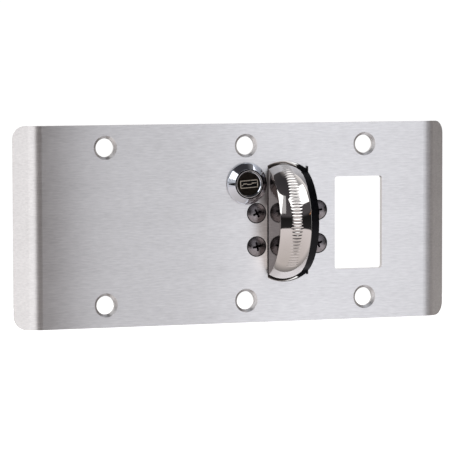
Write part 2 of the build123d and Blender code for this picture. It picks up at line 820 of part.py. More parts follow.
with BuildPart() as detent_screw:
    head_y = lug_y - 0.4
    with BuildSketch(facing_front(head_y, *spring_screw_place)):
        Circle(1.9)
    extrude(amount=1.2)
    fillet(detent_screw.edges().group_by(Axis.Y)[0], 0.4)
    with BuildSketch(facing_front(head_y, *spring_screw_place)):
        Circle(0.9)
    extrude(amount=-(lug_sheet + 1.2))
save(detent_screw, "detent_screw")

# ---------------------------------------------------------------- microswitch
switch_right_x = cheek_left_x - bracket_sheet - 0.05
switch_left_x = switch_right_x - switch_thick
plunger_x = (switch_left_x + switch_right_x) / 2
plunger_tip_y = axle_y + cam_base_r + 0.04

with BuildPart() as microswitch_case:
    with BuildSketch(across_x(switch_left_x, switch_front_y + switch_depth / 2, axle_z)):
        RectangleRounded(switch_depth, switch_length, 0.6)
    extrude(amount=switch_thick)
    with BuildSketch(across_x(switch_left_x, 0, 0)):
        with Locations(*switch_screw_places):
            Circle(1.2)
    extrude(amount=switch_thick, mode=Mode.SUBTRACT)
    # well of the plunger
    with BuildSketch(facing_front(switch_front_y, plunger_x, axle_z)):
        Circle(plunger_r + 0.08)
    extrude(amount=-3.5, mode=Mode.SUBTRACT)
    # slots of the terminals
    with BuildSketch(facing_front(switch_front_y + switch_depth, plunger_x, axle_z)):
        with Locations(*[(0, z) for z in (-8.0, -1.0, 8.0)]):
            Rectangle(3.24, 0.54)
    extrude(amount=2.0, mode=Mode.SUBTRACT)
save(microswitch_case, "microswitch_case")

with BuildPart() as microswitch_plunger:
    with BuildSketch(facing_front(plunger_tip_y, plunger_x, axle_z)):
        Circle(plunger_r)
    extrude(amount=-(switch_front_y + 2.6 - plunger_tip_y))
    fillet(microswitch_plunger.edges().group_by(Axis.Y)[0], 0.6)
save(microswitch_plunger, "microswitch_plunger")

with BuildPart() as microswitch_terminals:
    with BuildSketch(facing_front(switch_front_y + switch_depth - 1.9, plunger_x, axle_z)):
        with Locations(*[(0, z) for z in (-8.0, -1.0, 8.0)]):
            Rectangle(3.2, 0.5)
    extrude(amount=-8.0)
    with BuildSketch(Plane.XY.offset(-10)):
        with Locations((plunger_x, switch_front_y + switch_depth + 3.6)):
            Circle(0.8)
    extrude(amount=20, mode=Mode.SUBTRACT)
save(microswitch_terminals, "microswitch_terminals")

with BuildPart() as microswitch_screws:
    with BuildSketch(across_x(switch_left_x, 0, 0)):
        with Locations(*switch_screw_places):
            Circle(2.1)
    extrude(amount=-1.4)
    fillet(microswitch_screws.edges().group_by(Axis.X)[0], 0.5)
    with BuildSketch(across_x(switch_left_x, 0, 0)):
        with Locations(*switch_screw_places):
            Circle(1.12)
    extrude(amount=switch_thick + bracket_sheet)
    with BuildSketch(across_x(switch_left_x - 1.4, 0, 0)):
        with Locations(*switch_screw_places):
            Rectangle(3.2, 0.5)
            Rectangle(0.5, 3.2)
    extrude(amount=0.8, mode=Mode.SUBTRACT)
save(microswitch_screws, "microswitch_screws")

print("flat half width", round(flat_half, 2), "axle", round(axle_left_x, 2), round(axle_right_x, 2))
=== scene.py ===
"""Looks for the selector key switch: a brushed stainless plate with a chrome thumb wheel,
a black guard, a key cylinder and the mechanism behind them.

The object has X to the right, Y backwards and Z up. Its pieces, its finishes' depths and the
camera are given in millimetres, and MM turns them into metres. The floor and the lights are
given in metres."""

import json
import math

import bmesh
import bpy
from mathutils import Matrix, Vector


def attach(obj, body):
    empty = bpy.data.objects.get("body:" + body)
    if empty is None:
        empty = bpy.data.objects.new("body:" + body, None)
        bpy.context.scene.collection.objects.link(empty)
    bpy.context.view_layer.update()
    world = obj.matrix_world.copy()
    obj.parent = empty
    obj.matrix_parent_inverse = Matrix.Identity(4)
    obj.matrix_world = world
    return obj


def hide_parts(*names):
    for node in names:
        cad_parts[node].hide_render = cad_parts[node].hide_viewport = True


MM = 0.001

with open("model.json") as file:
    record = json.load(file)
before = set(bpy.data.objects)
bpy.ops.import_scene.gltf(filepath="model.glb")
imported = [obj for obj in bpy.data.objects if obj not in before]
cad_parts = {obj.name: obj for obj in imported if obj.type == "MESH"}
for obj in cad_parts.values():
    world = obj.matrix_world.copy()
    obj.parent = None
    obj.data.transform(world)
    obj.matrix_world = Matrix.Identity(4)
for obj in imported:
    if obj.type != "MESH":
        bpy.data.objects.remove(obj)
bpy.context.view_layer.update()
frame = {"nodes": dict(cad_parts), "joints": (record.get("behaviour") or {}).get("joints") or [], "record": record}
nodes = frame["nodes"]
joint_places = {joint["name"]: joint["pos_m"] for joint in frame["joints"] if "pos_m" in joint}


# ---------------------------------------------------------------- node materials
def new_material(name):
    """A new material, its node tree and its principled shader."""
    mat = bpy.data.materials.new(name)
    mat.use_nodes = True
    shader = mat.node_tree.nodes["Principled BSDF"]
    return mat, mat.node_tree, shader


def noise(tree, scale, stretch=(1, 1, 1), detail=4.0, rough=0.6):
    """Noise over the object's own coordinates, stretched along some axes."""
    coords = tree.nodes.new("ShaderNodeTexCoord")
    mapping = tree.nodes.new("ShaderNodeMapping")
    mapping.inputs["Scale"].default_value = stretch
    texture = tree.nodes.new("ShaderNodeTexNoise")
    texture.inputs["Scale"].default_value = scale
    texture.inputs["Detail"].default_value = detail
    texture.inputs["Roughness"].default_value = rough
    tree.links.new(coords.outputs["Object"], mapping.inputs["Vector"])
    tree.links.new(mapping.outputs["Vector"], texture.inputs["Vector"])
    return texture.outputs["Fac"]


def remap(tree, value, low, high, new_low=0, new_high=1):
    """value, taken from low..high to new_low..new_high, and held there."""
    node = tree.nodes.new("ShaderNodeMapRange")
    for socket, number in (
        ("From Min", low),
        ("From Max", high),
        ("To Min", new_low),
        ("To Max", new_high),
    ):
        node.inputs[socket].default_value = number
    tree.links.new(value, node.inputs["Value"])
    return node.outputs["Result"]


def mix_colours(tree, factor, first, second):
    """A colour between first and second, each an (r, g, b) or another node's output."""
    node = tree.nodes.new("ShaderNodeMix")
    node.data_type = "RGBA"
    for socket, colour in (("A", first), ("B", second)):
        if isinstance(colour, tuple):
            node.inputs[socket].default_value = (*colour, 1)
        else:
            tree.links.new(colour, node.inputs[socket])
    tree.links.new(factor, node.inputs["Factor"])
    return node.outputs["Result"]


def bump(tree, shader, height, distance, strength=1.0):
    """Bump from a height, in metres."""
    node = tree.nodes.new("ShaderNodeBump")
    node.inputs["Distance"].default_value = distance
    node.inputs["Strength"].default_value = strength
    tree.links.new(height, node.inputs["Height"])
    tree.links.new(node.outputs["Normal"], shader.inputs["Normal"])


# the range in which most values of a noise lie
GRAIN = (0.3, 0.7)


def surface(
    name, dark, light, rough, metallic, scale, stretch=(1, 1, 1), depth=0.01 * MM, specular=0.5
):
    """A finish whose colour, roughness and height vary with one stretched noise."""
    mat, tree, shader = new_material(name)
    grain = noise(tree, scale, stretch)
    colour = mix_colours(tree, remap(tree, grain, *GRAIN), dark, light)
    tree.links.new(colour, shader.inputs["Base Color"])
    tree.links.new(remap(tree, grain, *GRAIN, *rough), shader.inputs["Roughness"])
    shader.inputs["Metallic"].default_value = metallic
    shader.inputs["Specular IOR Level"].default_value = specular
    bump(tree, shader, grain, depth)
    return mat


# the right pair of bracket screws sits 1 mm higher than the left pair
SEAT_COLUMNS = ((11.2, 0.0), (46.4, 1.0))
SEAT_ROWS = (-12.8, 5.3)
SCREW_SEATS = [(x, z + lift) for x, lift in SEAT_COLUMNS for z in SEAT_ROWS]
# painted shade: the black that stands for the shadow in the gap round each bracket screw's head
SEAT_SHADE = (0.03, 0.028, 0.03)
# distances from a screw's axis for the painted shade: black up to the first, unshaded from the second
SEAT_SHADE_R, UNSHADED_R = 5.47, 5.70


def seat_painted_shade(tree, colour):
    """The colour with painted shade: blackened inside the countersinks of the four bracket screws, where the gap
    round each head lies in shadow.
    """
    coords = tree.nodes.new("ShaderNodeTexCoord")
    flat = tree.nodes.new("ShaderNodeVectorMath")
    flat.operation = "MULTIPLY"
    flat.inputs[1].default_value = (1, 0, 1)
    tree.links.new(coords.outputs["Object"], flat.inputs[0])
    nearest = None
    for x, z in SCREW_SEATS:
        away = tree.nodes.new("ShaderNodeVectorMath")
        away.operation = "DISTANCE"
        away.inputs[1].default_value = (x * MM, 0, z * MM)
        tree.links.new(flat.outputs["Vector"], away.inputs[0])
        if nearest is None:
            nearest = away.outputs["Value"]
            continue
        smaller = tree.nodes.new("ShaderNodeMath")
        smaller.operation = "MINIMUM"
        tree.links.new(nearest, smaller.inputs[0])
        tree.links.new(away.outputs["Value"], smaller.inputs[1])
        nearest = smaller.outputs[0]
    outside = remap(tree, nearest, SEAT_SHADE_R * MM, UNSHADED_R * MM)
    return mix_colours(tree, outside, SEAT_SHADE, colour)


# what the fine and the broad streaks each add to the steel's colour
FINE_SHARE, BROAD_SHARE = 0.65, 0.35


def brushed_steel(name, dark, light, rough, anisotropy, depth):
    """Steel brushed along X: long fine streaks, and a highlight spread up and down."""
    mat, tree, shader = new_material(name)
    fine = noise(tree, 170, stretch=(1.0, 6, 8), detail=2.5, rough=0.65)
    broad = noise(tree, 14, stretch=(1.0, 6, 7), detail=3.0, rough=0.5)
    streak = tree.nodes.new("ShaderNodeMath")
    streak.operation = "MULTIPLY_ADD"
    streak.inputs[1].default_value = BROAD_SHARE
    tree.links.new(broad, streak.inputs[0])
    tree.links.new(remap(tree, fine, 0.25, 0.75, 0, FINE_SHARE), streak.inputs[2])
    value = streak.outputs[0]
    # painted shade in the countersinks round the bracket screws
    colour = seat_painted_shade(tree, mix_colours(tree, value, dark, light))
    tree.links.new(colour, shader.inputs["Base Color"])
    tree.links.new(remap(tree, value, 0, 1, *rough), shader.inputs["Roughness"])
    shader.inputs["Metallic"].default_value = 1.0
    shader.inputs["Anisotropic"].default_value = anisotropy
    up = tree.nodes.new("ShaderNodeCombineXYZ")
    up.inputs["Z"].default_value = 1.0
    tree.links.new(up.outputs["Vector"], shader.inputs["Tangent"])
    bump(tree, shader, fine, depth, strength=0.5)
    return mat


looks = {
    "plate_stainless": brushed_steel(
        "brushed_stainless", (0.43, 0.405, 0.395), (0.635, 0.605, 0.59), (0.36, 0.46), 0.75, 0.02 * MM
    ),
    "wheel_chrome": surface(
        "wheel_chrome", (0.86, 0.83, 0.815), (0.90, 0.875, 0.86), (0.045, 0.075), 1.0, 90, depth=0.001 * MM
    ),
    "lock_chrome": surface(
        "lock_chrome", (0.85, 0.895, 0.985), (0.89, 0.935, 1.0), (0.06, 0.10), 1.0, 120, depth=0.001 * MM
    ),
    "plug_steel": surface(
        "plug_dark_steel", (0.020, 0.016, 0.012), (0.055, 0.045, 0.034), (0.30, 0.48), 0.6, 700
    ),
    "keyway_nickel": surface(
        "keyway_nickel", (0.40, 0.37, 0.29), (0.70, 0.67, 0.58), (0.22, 0.38), 1.0, 900
    ),
    "wafer_brass": surface(
        "wafer_brass", (0.52, 0.36, 0.13), (0.72, 0.52, 0.22), (0.25, 0.40), 1.0, 500
    ),
    "zinc_plate": surface(
        "zinc_plate", (0.44, 0.45, 0.47), (0.66, 0.67, 0.69), (0.28, 0.45), 1.0, 260
    ),
    "screw_steel": surface(
        "screw_nickel", (0.30, 0.285, 0.30), (0.52, 0.50, 0.53), (0.20, 0.36), 1.0, 600
    ),
    "pin_steel": surface(
        "ground_steel", (0.48, 0.48, 0.49), (0.66, 0.66, 0.67), (0.18, 0.30), 1.0, 350, (9, 1, 1)
    ),
    "bush_bronze": surface(
        "sintered_bronze", (0.30, 0.17, 0.07), (0.48, 0.30, 0.14), (0.42, 0.60), 1.0, 1500, depth=0.03 * MM
    ),
    "guard_black": surface(
        "guard_black", (0.008, 0.009, 0.013), (0.016, 0.018, 0.025), (0.42, 0.60), 0.0, 500,
        depth=0.03 * MM, specular=0.25,
    ),
    "switch_black": surface(
        "moulded_black", (0.012, 0.012, 0.013), (0.026, 0.026, 0.028), (0.40, 0.58), 0.0, 800, depth=0.02 * MM
    ),
    "nylon_natural": surface(
        "natural_nylon", (0.62, 0.59, 0.50), (0.74, 0.71, 0.62), (0.38, 0.52), 0.0, 300
    ),
    "plunger_red": surface(
        "red_plunger", (0.36, 0.02, 0.015), (0.50, 0.035, 0.025), (0.28, 0.40), 0.0, 500
    ),
    "terminal_tin": surface(
        "tinned_terminal", (0.52, 0.51, 0.48), (0.72, 0.71, 0.67), (0.25, 0.42), 1.0, 420
    ),
    "spring_steel": surface(
        "blued_spring_steel", (0.16, 0.17, 0.21), (0.34, 0.35, 0.39), (0.22, 0.36), 1.0, 380
    ),
}

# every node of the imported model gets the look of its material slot
for part in frame["record"]["subparts"]:
    finish = looks[part["material_slot"]]
    for material_slot in nodes[part["node"]].material_slots:
        material_slot.material = finish


# ---------------------------------------------------------------- mesh helpers
def add_mesh(name, verts, faces, look, body, replaced=(), sharp=35):
    """A piece from points in millimetres, shaded smooth except at sharp edges; it is returned."""
    mesh = bpy.data.meshes.new(name)
    mesh.from_pydata([tuple(c * MM for c in v) for v in verts], [], faces)
    tidy = bmesh.new()
    tidy.from_mesh(mesh)
    bmesh.ops.recalc_face_normals(tidy, faces=tidy.faces)
    tidy.to_mesh(mesh)
    tidy.free()
    mesh.shade_smooth()
    mesh.set_sharp_from_angle(angle=math.radians(sharp))
    mesh.materials.append(look)
    piece = bpy.data.objects.new(name, mesh)
    bpy.context.scene.collection.objects.link(piece)
    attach(piece, body)
    if replaced:
        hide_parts(*replaced)
    return piece


def arc_through(first, middle, last, count):
    """Points along the arc through three points of a plane."""
    (ax, ay), (bx, by), (cx, cy) = first, middle, last
    d = 2 * (ax * (by - cy) + bx * (cy - ay) + cx * (ay - by))
    ux = ((ax**2 + ay**2) * (by - cy) + (bx**2 + by**2) * (cy - ay) + (cx**2 + cy**2) * (ay - by)) / d
    uy = ((ax**2 + ay**2) * (cx - bx) + (bx**2 + by**2) * (ax - cx) + (cx**2 + cy**2) * (bx - ax)) / d
    radius = math.hypot(ax - ux, ay - uy)
    start = math.atan2(ay - uy, ax - ux)
    end = math.atan2(cy - uy, cx - ux)
    turns = [start + (end - start) * i / count for i in range(count + 1)]
    return [(ux + radius * math.cos(t), uy + radius * math.sin(t)) for t in turns]


def closed_grid(rows, across):
    """Faces between rows of points, where the last row and the last point meet the first."""
    faces = []
    for row in range(rows):
        here, there = row * across, (row + 1) % rows * across
        for i in range(across):
            j = (i + 1) % across
            faces.append((here + i, here + j, there + j, there + i))
    return faces


# ---------------------------------------------------------------- thumb wheel
# places on the wheel's section are (x, radius)
AXLE_Y, AXLE_Z = (value / MM for value in joint_places["wheel_turn"][1:])
WHEEL_LEFT, WHEEL_CROWN, WHEEL_RIGHT = (17.8, 31.2), (27.3, 33.6), (35.8, 31.1)
CROWN_STEPS = 44
RIM_INNER_R, HUB_R, BORE_R = 27.9, 5.6, 3.02
WEB_RIGHT_X = 20.4
LEFT_FACE_RINGS = (16, 24, 28)
# the left edge is an arc; at the right the crown stops short, and points near the corner round it
EDGE_ROUND, EDGE_POINTS, EDGE_STEP = 0.15, 5, math.radians(14.4)
CROWN_STOP, CORNER_POINTS = 0.3, ((0.1, 0.02), (0.0, 0.2))
# the grooves start GROOVE_FIRST degrees up from the front of the rim, and go on over its top
PITCHES_PER_TURN = 118
GROOVE_PITCH = 360 / PITCHES_PER_TURN
STEPS_PER_PITCH = 12
GROOVES, GROOVE_FIRST = 51, -43.4
GROOVE_DEPTH, GROOVE_R = 0.27, 1.15
# the slot in which the stop pin runs, with its span in degrees from +Y towards +Z
STOP_SLOT_R = (6.45, 9.55)
STOP_SLOT_SPAN = (-170.8, -79.2)

ring_steps = PITCHES_PER_TURN * STEPS_PER_PITCH
crown = arc_through(WHEEL_LEFT, WHEEL_CROWN, WHEEL_RIGHT, CROWN_STEPS)
left_round = [
    (WHEEL_LEFT[0] + EDGE_ROUND * (1 - math.cos(t)), WHEEL_LEFT[1] - EDGE_ROUND * (1 - math.sin(t)))
    for t in [EDGE_STEP * i for i in range(EDGE_POINTS)]
]
wheel_profile = (
    [(WHEEL_LEFT[0], r) for r in (BORE_R, *STOP_SLOT_R, *LEFT_FACE_RINGS)]
    + left_round
    + [p for p in crown if WHEEL_LEFT[0] + EDGE_ROUND <= p[0] <= WHEEL_RIGHT[0] - CROWN_STOP]
    + [(WHEEL_RIGHT[0] - inward, WHEEL_RIGHT[1] - down) for inward, down in CORNER_POINTS]
    + [(WHEEL_RIGHT[0], RIM_INNER_R), (WEB_RIGHT_X, RIM_INNER_R)]
    + [(WEB_RIGHT_X, r) for r in (STOP_SLOT_R[1], STOP_SLOT_R[0], HUB_R)]
    + [(WHEEL_RIGHT[0], HUB_R), (WHEEL_RIGHT[0], BORE_R)]
)
size = len(wheel_profile)
left_low, left_high = (wheel_profile.index((WHEEL_LEFT[0], r)) for r in STOP_SLOT_R)
right_low, right_high = (wheel_profile.index((WEB_RIGHT_X, r)) for r in STOP_SLOT_R)
groove_centre = WHEEL_CROWN[1] - GROOVE_DEPTH + GROOVE_R


def grooved(up, radius):
    """The radius that the grooves leave at an angle in degrees, counted from the front upwards."""
    turn = (up - GROOVE_FIRST) / GROOVE_PITCH
    nearest = min(max(round(turn), 0), GROOVES - 1)
    away = math.radians((turn - nearest) * GROOVE_PITCH)
    side = groove_centre * math.sin(away)
    if abs(side) >= GROOVE_R or abs(turn - nearest) > 1:
        return radius
    return min(radius, groove_centre * math.cos(away) - math.sqrt(GROOVE_R**2 - side**2))


def in_slot(step):
    """Whether a step of the ring lies inside the stop slot's span."""
    angle = 180 - (step + 0.5) * 360 / ring_steps
    return STOP_SLOT_SPAN[0] < angle < STOP_SLOT_SPAN[1]


wheel_verts = []
for step in range(ring_steps):
    up = step * 360 / ring_steps
    up = up - 360 if up > 180 else up
    a = math.radians(180 - up)
    for x, r in wheel_profile:
        if r > RIM_INNER_R:
            r = grooved(up, r)
        wheel_verts.append((x, AXLE_Y + r * math.cos(a), AXLE_Z + r * math.sin(a)))

# in the slot's span the web's two flat strips are left out, and walls join their edges
wheel_faces = []
for step in range(ring_steps):
    after = (step + 1) % ring_steps
    here, there = step * size, after * size
    for i in range(size):
        j = (i + 1) % size
        if (i, j) in ((left_low, left_high), (right_high, right_low)) and in_slot(step):
            continue
        wheel_faces.append((here + i, here + j, there + j, there + i))
    if in_slot(step):
        for left, right in ((left_low, right_low), (left_high, right_high)):
            wheel_faces.append((here + left, here + right, there + right, there + left))
    if in_slot(step) != in_slot(after):
        wheel_faces.append((there + left_low, there + left_high, there + right_high, there + right_low))
wheel = add_mesh(
    "thumb_wheel_turned", wheel_verts, wheel_faces, looks["wheel_chrome"], "selector_wheel",
    ["thumb_wheel"], sharp=32,
)
# the flat left face gets a darker, warmer, slightly rougher copy of the chrome: painted shade and a painted
# reflection of the plate
side_shaded_look = surface(
    "wheel_side_painted_shade", (0.25, 0.214, 0.20), (0.32, 0.276, 0.262), (0.08, 0.14), 1.0, 60,
    depth=0.002 * MM,
)
wheel.data.materials.append(side_shaded_look)
for polygon in wheel.data.polygons:
    if polygon.normal.x < -0.9 and polygon.center.x < (WHEEL_LEFT[0] + 2 * EDGE_ROUND) * MM:
        polygon.material_index = 1

# ---------------------------------------------------------------- key cylinder face
# places round the cylinder's axis are (radius, y)
LOCK_X, _, LOCK_Z = (value / MM for value in joint_places["key_turn"])
LOCK_TOP_Y, PLUG_FACE_Y = -7.7, -6.9
RING_STEPS = 96
# a thin dark band of painted shade stands for the groove round the bezel's lip; both are sunk into the bezel
BAND_R, BAND_FRONT_Y = (6.68, 7.98), LOCK_TOP_Y - 0.03
SUNK_Y, SUNK_OUTER_Y = LOCK_TOP_Y + 0.1, LOCK_TOP_Y + 0.3
# the lip is a bead, LIP_RISE times as high as half its width
LIP_R, LIP_RISE = (6.95, 7.4), 0.8
lip_look = surface("bezel_lip", (0.66, 0.65, 0.66), (0.80, 0.79, 0.80), (0.30, 0.40), 0.6, 300)
frame_look = surface(
    "keyway_frame_worn", (0.44, 0.40, 0.32), (0.78, 0.73, 0.63), (0.25, 0.40), 0.5, 900
)
# black for the painted index mark, also used as painted shade for the bezel's groove and inside the keyway
paint_and_shade_look = surface(
    "index_paint_and_painted_shade", (0.006, 0.006, 0.007), (0.012, 0.012, 0.013), (0.45, 0.6), 0.0, 900, specular=0.15
)


def ring(name, profile, look):
    """A ring of the fixed bezel: a closed (radius, y) profile turned about the lock's axis."""
    verts = []
    for step in range(RING_STEPS):
        a = 2 * math.pi * step / RING_STEPS
        verts += [(LOCK_X + r * math.cos(a), y, LOCK_Z + r * math.sin(a)) for r, y in profile]
    return add_mesh(name, verts, closed_grid(RING_STEPS, len(profile)), look, "panel")


def bead(low, high, count=7):
    """Points of a flattened half-round bead from low radius to high, standing towards the front."""
    middle, half = (low + high) / 2, (high - low) / 2
    turns = [math.pi * i / count for i in range(count + 1)]
    return [(middle - half * math.cos(t), BAND_FRONT_Y - half * LIP_RISE * math.sin(t)) for t in turns]


# painted shade: a black band in place of the groove's shadow
ring(
    "bezel_groove_shade_band",
    [
        (BAND_R[0], SUNK_Y),
        (BAND_R[0], BAND_FRONT_Y),
        (BAND_R[1], BAND_FRONT_Y),
        (BAND_R[1], SUNK_OUTER_Y),
    ],
    paint_and_shade_look,
)
bezel_lip = ring(
    "bezel_lip",
    [(LIP_R[0], SUNK_Y)] + bead(*LIP_R) + [(LIP_R[1], SUNK_Y)],
    lip_look,
)

# ---------------------------------------------------------------- keyway
# outlines are (u, v) in the plug's face, along and across the keyway, which is a little tilted;
# a rounded one is half length, half height, corner radius, and depths count back from the face
FRAME_TILT = math.radians(4)
FRAME_OUTER, FRAME_INNER, FRAME_DEPTH = (5.05, 2.15, 0.5), (4.62, 1.72, 0.3), (-0.28, 0.5)
FRAME_EDGE, FRONT_TAPER, INSIDE_TAPER = 0.06, (0.985, 0.97), (0.985, 0.96)
KEYWAY_SHADE, KEYWAY_SHADE_DEPTH = (4.7, 1.8, 0.3), (0.05, 0.45)
WARD_HALF, WARD_DEPTH = 0.22, (-0.12, 0.2)
# the middle line of the ward, from left to right
WARD_LINE = (
    (-4.2, -0.55), (-3.5, -0.55), (-3.2, 0.25), (-1.2, 0.25),
    (-0.9, -0.2), (1.4, -0.2), (1.7, 0.35), (4.2, 0.35),
)


def in_plug(points, depth):
    """Points of an outline in the plug's face, at a depth, as places in the object."""
    c, s = math.cos(FRAME_TILT), math.sin(FRAME_TILT)
    y = PLUG_FACE_Y + depth
    return [(LOCK_X + u * c - v * s, y, LOCK_Z + u * s + v * c) for u, v in points]


def tapered(points, taper):
    """The outline drawn in towards its middle."""
    return [(u * taper[0], v * taper[1]) for u, v in points]


def slab(name, points, depths, look):
    """A flat piece that turns with the plug, from its outline and its front and back depths."""
    verts = [place for depth in depths for place in in_plug(points, depth)]
    count = len(points)
    faces = [tuple(range(count)), tuple(range(count, 2 * count))]
    faces += [(i, (i + 1) % count, (i + 1) % count + count, i + count) for i in range(count)]
    return add_mesh(name, verts, faces, look, "key_plug")


def rounded_rectangle(half_u, half_v, radius, steps=5):
    """Points round a rectangle with round corners."""
    points = []
    for corner, (su, sv) in enumerate(((1, 1), (-1, 1), (-1, -1), (1, -1))):
        for i in range(steps + 1):
            a = math.pi / 2 * (corner + i / steps)
            points.append(
                (su * (half_u - radius) + radius * math.cos(a), sv * (half_v - radius) + radius * math.sin(a))
            )
    return points


frame_outer, frame_inner = rounded_rectangle(*FRAME_OUTER), rounded_rectangle(*FRAME_INNER)
frame_front, frame_back = FRAME_DEPTH
frame_rows = (
    (frame_outer, frame_back),
    (frame_outer, frame_front + FRAME_EDGE),
    (tapered(frame_outer, FRONT_TAPER), frame_front),
    (frame_inner, frame_front),
    (tapered(frame_inner, INSIDE_TAPER), frame_back),
)
keyway_frame = add_mesh(
    "keyway_frame",
    [place for points, depth in frame_rows for place in in_plug(points, depth)],
    closed_grid(len(frame_rows), len(frame_outer)),
    frame_look, "key_plug", ["keyway_insert"],
)
# painted shade: a black slab a little behind the face stands for the dark inside of the keyway
slab("keyway_painted_shade", rounded_rectangle(*KEYWAY_SHADE), KEYWAY_SHADE_DEPTH, paint_and_shade_look)
ward_outline = [(u, v + WARD_HALF) for u, v in WARD_LINE]
ward_outline += [(u, v - WARD_HALF) for u, v in reversed(WARD_LINE)]
keyway_ward = slab("keyway_ward", ward_outline, WARD_DEPTH, frame_look)

# ---------------------------------------------------------------- index mark
# painted across the bezel at nine o'clock and tapering outwards: each end's radius, y and half height
MARK_ENDS = ((8.1, LOCK_TOP_Y + 0.5, 0.75), (10.8, -4.5, 0.25))
MARK_FRONT, MARK_BACK = -0.08, 0.25
mark_verts = [
    (LOCK_X - r, y + depth, LOCK_Z + z)
    for r, y, half in MARK_ENDS
    for z in (-half, half)
    for depth in (MARK_FRONT, MARK_BACK)
]
add_mesh(
    "index_mark", mark_verts,
    [(0, 1, 3, 2), (4, 5, 7, 6), (0, 2, 6, 4), (1, 3, 7, 5), (0, 1, 5, 4), (2, 3, 7, 6)],
    paint_and_shade_look, "panel",
)

# ---------------------------------------------------------------- camera
# a long lens far off, from the left and a little above
CAMERA_PLACE = Vector((-483.0, -1411.8, 101.6)) * MM
CAMERA_AIM = Vector((-6.9, -3.0, -0.67)) * MM
CAMERA_ROLL = math.radians(-0.148)
CAMERA_LENS = 221.07

camera_data = bpy.data.cameras.new("camera")
camera_data.lens = CAMERA_LENS
camera_data.sensor_width = 36.0
camera_data.clip_end = 20.0
camera = bpy.data.objects.new("camera", camera_data)
toward = (CAMERA_AIM - CAMERA_PLACE).to_track_quat("-Z", "Y").to_matrix().to_4x4()
camera.matrix_world = Matrix.Translation(CAMERA_PLACE) @ toward @ Matrix.Rotation(CAMERA_ROLL, 4, "Z")
bpy.context.scene.collection.objects.link(camera)
bpy.context.scene.camera = camera

# ---------------------------------------------------------------- world
bpy.context.scene.view_settings.view_transform = "Standard"
WHITE_STRENGTH = 1.05


def ramp(tree, value, stops):
    """A colour ramp; each stop is (position, (r, g, b))."""
    node = tree.nodes.new("ShaderNodeValToRGB")
    elements = node.color_ramp.elements
    while len(elements) < len(stops):
        elements.new(0.5)
    for element, (position, colour) in zip(elements, stops):
        element.position = position
        element.color = (*colour, 1)
    tree.links.new(value, node.inputs["Fac"])
    return node.outputs["Color"]


world = bpy.data.worlds.new("studio")
bpy.context.scene.world = world
world.use_nodes = True
tree = world.node_tree
tree.nodes.clear()
output = tree.nodes.new("ShaderNodeOutputWorld")
mix = tree.nodes.new("ShaderNodeMixShader")
path = tree.nodes.new("ShaderNodeLightPath")
white = tree.nodes.new("ShaderNodeBackground")
white.inputs["Color"].default_value = (1, 1, 1, 1)
white.inputs["Strength"].default_value = WHITE_STRENGTH
around = tree.nodes.new("ShaderNodeBackground")
coords = tree.nodes.new("ShaderNodeTexCoord")
direction = tree.nodes.new("ShaderNodeSeparateXYZ")
tree.links.new(coords.outputs["Generated"], direction.inputs["Vector"])

# what the object mirrors, from straight down at 0 to straight up at 1
height = remap(tree, direction.outputs["Z"], -1, 1)
room = ramp(
    tree,
    height,
    [
        (0.00, (0.52, 0.475, 0.455)),
        (0.30, (0.66, 0.61, 0.60)),
        (0.395, (0.70, 0.65, 0.645)),
        (0.405, (0.02, 0.02, 0.02)),
        (0.56, (0.01, 0.01, 0.01)),
        (0.60, (0.075, 0.07, 0.073)),
        (0.80, (0.06, 0.055, 0.058)),
        (1.00, (0.035, 0.033, 0.036)),
    ],
)
left_wall = ramp(
    tree,
    height,
    [
        (0.00, (0.5, 0.46, 0.43)),
        (0.49, (0.62, 0.6, 0.62)),
        (0.52, (0.25, 0.25, 0.26)),
        (0.60, (0.8, 0.8, 0.82)),
        (1.00, (0.1, 0.1, 0.1)),
    ],
)
backdrop_low = [
    (0.00, (0.22, 0.205, 0.20)),
    (0.40, (0.34, 0.32, 0.31)),
    (0.48, (0.72, 0.72, 0.73)),
    (0.60, (0.75, 0.75, 0.76)),
]
dark_top = [(0.75, (0.07, 0.062, 0.064)), (1.0, (0.05, 0.046, 0.048))]
light_top = [(0.8, (0.68, 0.645, 0.63)), (1.0, (0.40, 0.38, 0.37))]
backdrop_left = ramp(tree, height, backdrop_low + dark_top)
backdrop_right = ramp(tree, height, backdrop_low + light_top)

# the room in front turns into its left wall, and behind the object into the backdrop
to_right = remap(tree, direction.outputs["X"], -0.05, 0.2)
to_far_left = remap(tree, direction.outputs["X"], -0.905, -0.945)
to_back = remap(tree, direction.outputs["Y"], -0.05, 0.25)
backdrop = mix_colours(tree, to_right, backdrop_left, backdrop_right)
room = mix_colours(tree, to_far_left, room, left_wall)
tree.links.new(mix_colours(tree, to_back, room, backdrop), around.inputs["Color"])

# the camera itself sees plain white
tree.links.new(path.outputs["Is Camera Ray"], mix.inputs["Fac"])
tree.links.new(around.outputs["Background"], mix.inputs[1])
tree.links.new(white.outputs["Background"], mix.inputs[2])
tree.links.new(mix.outputs["Shader"], output.inputs["Surface"])

# ---------------------------------------------------------------- floor
FLOOR_Z, FLOOR_HALF = -0.45, 4
floor_corners = [
    (x * FLOOR_HALF, y * FLOOR_HALF, FLOOR_Z) for x, y in ((-1, -1), (1, -1), (1, 1), (-1, 1))
]
floor_mesh = bpy.data.meshes.new("floor")
floor_mesh.from_pydata(floor_corners, [], [(0, 1, 2, 3)])
floor = bpy.data.objects.new("floor", floor_mesh)
bpy.context.scene.collection.objects.link(floor)
floor_material, _, floor_shader = new_material("pale_floor")
floor_shader.inputs["Base Color"].default_value = (0.9, 0.9, 0.9, 1)
floor_shader.inputs["Emission Color"].default_value = (1, 1, 1, 1)
floor_shader.inputs["Emission Strength"].default_value = WHITE_STRENGTH
floor_mesh.materials.append(floor_material)
floor.visible_glossy = False
floor.visible_diffuse = False

